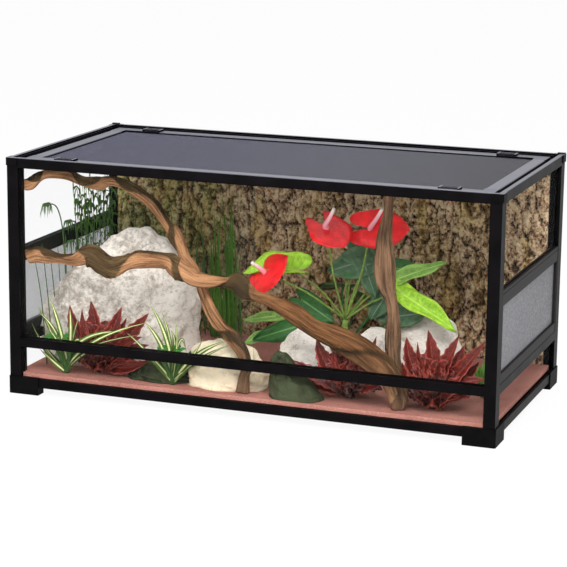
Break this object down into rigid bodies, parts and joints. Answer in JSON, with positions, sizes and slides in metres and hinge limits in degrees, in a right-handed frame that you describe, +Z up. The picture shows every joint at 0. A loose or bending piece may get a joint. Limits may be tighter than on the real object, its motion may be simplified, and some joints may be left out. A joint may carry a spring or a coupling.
{
  "type": "reptile terrarium",
  "caption": "Long glass terrarium with a black metal frame, sliding front doors, side vents, a lift-off wire screen lid with sliding latches, and wood, rock and plant furnishing inside.",
  "frame": {"origin": "centre of the footprint, on the surface that the feet stand on", "axes": "+X to the right along the front, +Y from the doors to the rear, +Z up"},
  "size_m": [0.904, 0.454, 0.432],
  "materials": {
    "powder_coated_aluminium": "satin black powder coat",
    "corner_plastic": "moulded black ABS, fine grain",
    "vent_frame_plastic": "moulded charcoal plastic",
    "vent_wire": "woven stainless wire",
    "lid_wire": "woven wire, dark epoxy coat",
    "float_glass": "clear float glass",
    "cork_bark": "rough bark relief",
    "red_sand": "sand-coated mat",
    "driftwood": "dry stripped root wood",
    "limestone": "rough pale stone",
    "red_foliage": "moulded artificial leaves",
    "green_foliage": "moulded artificial leaves"
  },
  "bodies": {
    "tank": {"foot_front_left": "corner_plastic", "foot_front_right": "corner_plastic", "foot_rear_left": "corner_plastic", "foot_rear_right": "corner_plastic", "post_front_left": "powder_coated_aluminium", "post_front_right": "powder_coated_aluminium", "post_rear_left": "powder_coated_aluminium", "post_rear_right": "powder_coated_aluminium", "top_corner_front_left": "corner_plastic", "top_corner_front_right": "corner_plastic", "top_corner_rear_left": "corner_plastic", "top_corner_rear_right": "corner_plastic", "bottom_rail_front": "powder_coated_aluminium", "bottom_rail_rear": "powder_coated_aluminium", "bottom_rail_left": "powder_coated_aluminium", "bottom_rail_right": "powder_coated_aluminium", "top_rail_front": "powder_coated_aluminium", "top_rail_rear": "powder_coated_aluminium", "top_rail_left": "powder_coated_aluminium", "top_rail_right": "powder_coated_aluminium", "door_track": "powder_coated_aluminium", "mid_rail_left": "powder_coated_aluminium", "mid_rail_right": "powder_coated_aluminium", "vent_frame_left": "vent_frame_plastic", "vent_frame_right": "vent_frame_plastic", "vent_mesh_left": "vent_wire", "vent_mesh_right": "vent_wire", "floor_pane": "float_glass", "rear_pane": "float_glass", "front_lower_pane": "float_glass", "side_pane_left": "float_glass", "side_pane_right": "float_glass", "side_lower_pane_left": "float_glass", "side_lower_pane_right": "float_glass", "background_board": "cork_bark", "sand_bed": "red_sand", "climbing_branch": "driftwood", "twisted_root": "driftwood", "upright_trunk": "driftwood", "large_rock": "limestone", "small_rocks": "limestone", "spider_plants": "green_foliage", "red_rosettes": "red_foliage", "flamingo_flower": "green_foliage", "reeds": "green_foliage"},
    "door_left": {"door_left": "float_glass"},
    "door_right": {"door_right": "float_glass"},
    "lid": {"lid_bar_front": "powder_coated_aluminium", "lid_bar_rear": "powder_coated_aluminium", "lid_bar_left": "powder_coated_aluminium", "lid_bar_right": "powder_coated_aluminium", "lid_corner_front_left": "corner_plastic", "lid_corner_front_right": "corner_plastic", "lid_corner_rear_left": "corner_plastic", "lid_corner_rear_right": "corner_plastic", "lid_mesh": "lid_wire"},
    "latch_front_left": {"latch_front_left": "corner_plastic"},
    "latch_front_right": {"latch_front_right": "corner_plastic"},
    "latch_rear_left": {"latch_rear_left": "corner_plastic"},
    "latch_rear_right": {"latch_rear_right": "corner_plastic"}
  },
  "joints": [
    {"name": "door_left_slide", "type": "slide", "parent": "tank", "child": "door_left", "axis": [1, 0, 0], "range_m": [0, 0.416]},
    {"name": "door_right_slide", "type": "slide", "parent": "tank", "child": "door_right", "axis": [-1, 0, 0], "range_m": [0, 0.416]},
    {"name": "lid_lift", "type": "slide", "parent": "tank", "child": "lid", "axis": [0, 0, 1], "range_m": [0, 0.15]},
    {"name": "latch_front_left_slide", "type": "slide", "parent": "lid", "child": "latch_front_left", "axis": [0, -1, 0], "range_m": [0, 0.017]},
    {"name": "latch_front_right_slide", "type": "slide", "parent": "lid", "child": "latch_front_right", "axis": [0, -1, 0], "range_m": [0, 0.017]},
    {"name": "latch_rear_left_slide", "type": "slide", "parent": "lid", "child": "latch_rear_left", "axis": [0, 1, 0], "range_m": [0, 0.017]},
    {"name": "latch_rear_right_slide", "type": "slide", "parent": "lid", "child": "latch_rear_right", "axis": [0, 1, 0], "range_m": [0, 0.017]}
  ]
}
